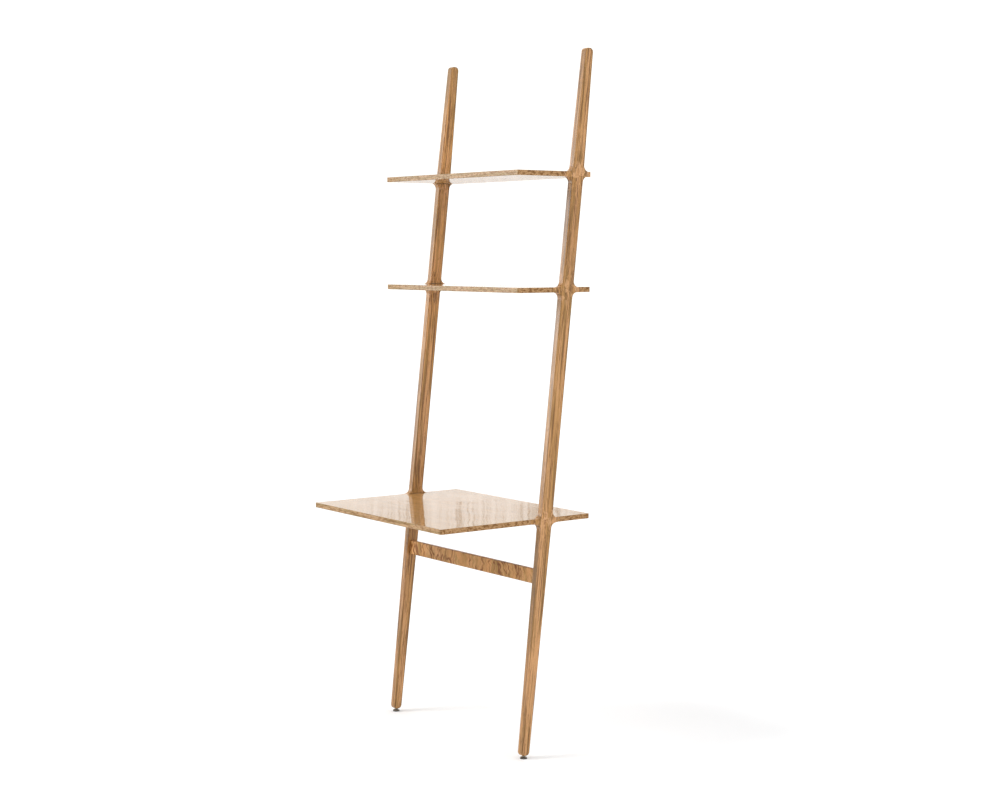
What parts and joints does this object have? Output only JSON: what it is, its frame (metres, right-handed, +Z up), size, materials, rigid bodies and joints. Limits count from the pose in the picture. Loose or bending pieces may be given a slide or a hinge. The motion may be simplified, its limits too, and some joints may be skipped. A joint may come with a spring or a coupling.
{
  "type": "ladder desk",
  "caption": "Leaning ladder desk: two tapered oak uprights with flared nodes carry a deep desktop and two shallow shelves, tied by a cross rail, on screw-in levelling glides.",
  "frame": {"origin": "on the floor, midway between the uprights and midway between the desktop's front edge and the wall", "axes": "+Z up, +Y towards the wall, +X to the right of someone who sits at the desk"},
  "size_m": [0.736, 0.566, 2.176],
  "materials": {
    "upright_oak": "satin lacquered oak, long grain",
    "board_oak": "satin-gloss lacquered oak",
    "rail_oak": "satin lacquered oak",
    "dowel_beech": "plain beech",
    "cam_zinc": "die-cast zinc, nickel plated",
    "bolt_steel": "zinc plated",
    "insert_brass": "turned brass",
    "glide_steel": "bright zinc plated",
    "glide_pad_steel": "bright nickel plated",
    "glide_sole_rubber": "matt",
    "plate_steel": "zinc plated",
    "screw_steel": "zinc plated"
  },
  "bodies": {
    "frame": {"right_upright": "upright_oak", "left_upright": "upright_oak", "desktop": "board_oak", "desktop_dowels": "dowel_beech", "desktop_cams": "cam_zinc", "desktop_cam_bolts": "bolt_steel", "middle_shelf": "board_oak", "middle_shelf_dowels": "dowel_beech", "middle_shelf_cams": "cam_zinc", "middle_shelf_cam_bolts": "bolt_steel", "top_shelf": "board_oak", "top_shelf_dowels": "dowel_beech", "top_shelf_cams": "cam_zinc", "top_shelf_cam_bolts": "bolt_steel", "cross_rail": "rail_oak", "cross_rail_dowels": "dowel_beech", "cross_rail_cams": "cam_zinc", "cross_rail_cam_bolts": "bolt_steel", "right_wall_plate": "plate_steel", "right_wall_plate_screws": "screw_steel", "right_foot_insert": "insert_brass", "left_wall_plate": "plate_steel", "left_wall_plate_screws": "screw_steel", "left_foot_insert": "insert_brass"},
    "left_foot": {"left_glide_pad": "glide_pad_steel", "left_glide_sole": "glide_sole_rubber"},
    "left_screw": {"left_glide_stem": "glide_steel"},
    "right_foot": {"right_glide_pad": "glide_pad_steel", "right_glide_sole": "glide_sole_rubber"},
    "right_screw": {"right_glide_stem": "glide_steel"}
  },
  "joints": [
    {"name": "left_glide_travel", "type": "slide", "parent": "frame", "child": "left_foot", "axis": [0, 0, -1], "range_m": [-0.00125, 0.01]},
    {"name": "left_glide_turn", "type": "hinge", "parent": "left_foot", "child": "left_screw", "pos_m": [-0.357, 0.02609, 0.006], "axis": [0, 0, -1], "range_deg": [-633, 6739]},
    {"name": "right_glide_travel", "type": "slide", "parent": "frame", "child": "right_foot", "axis": [0, 0, -1], "range_m": [-0.00125, 0.01]},
    {"name": "right_glide_turn", "type": "hinge", "parent": "right_foot", "child": "right_screw", "pos_m": [0.357, 0.02609, 0.006], "axis": [0, 0, -1], "range_deg": [-633, 6739]}
  ],
  "couplings": [
    {"joint": "left_glide_turn", "follows": "left_glide_travel", "rad_per_m": 5026.5},
    {"joint": "right_glide_turn", "follows": "right_glide_travel", "rad_per_m": 5026.5}
  ]
}
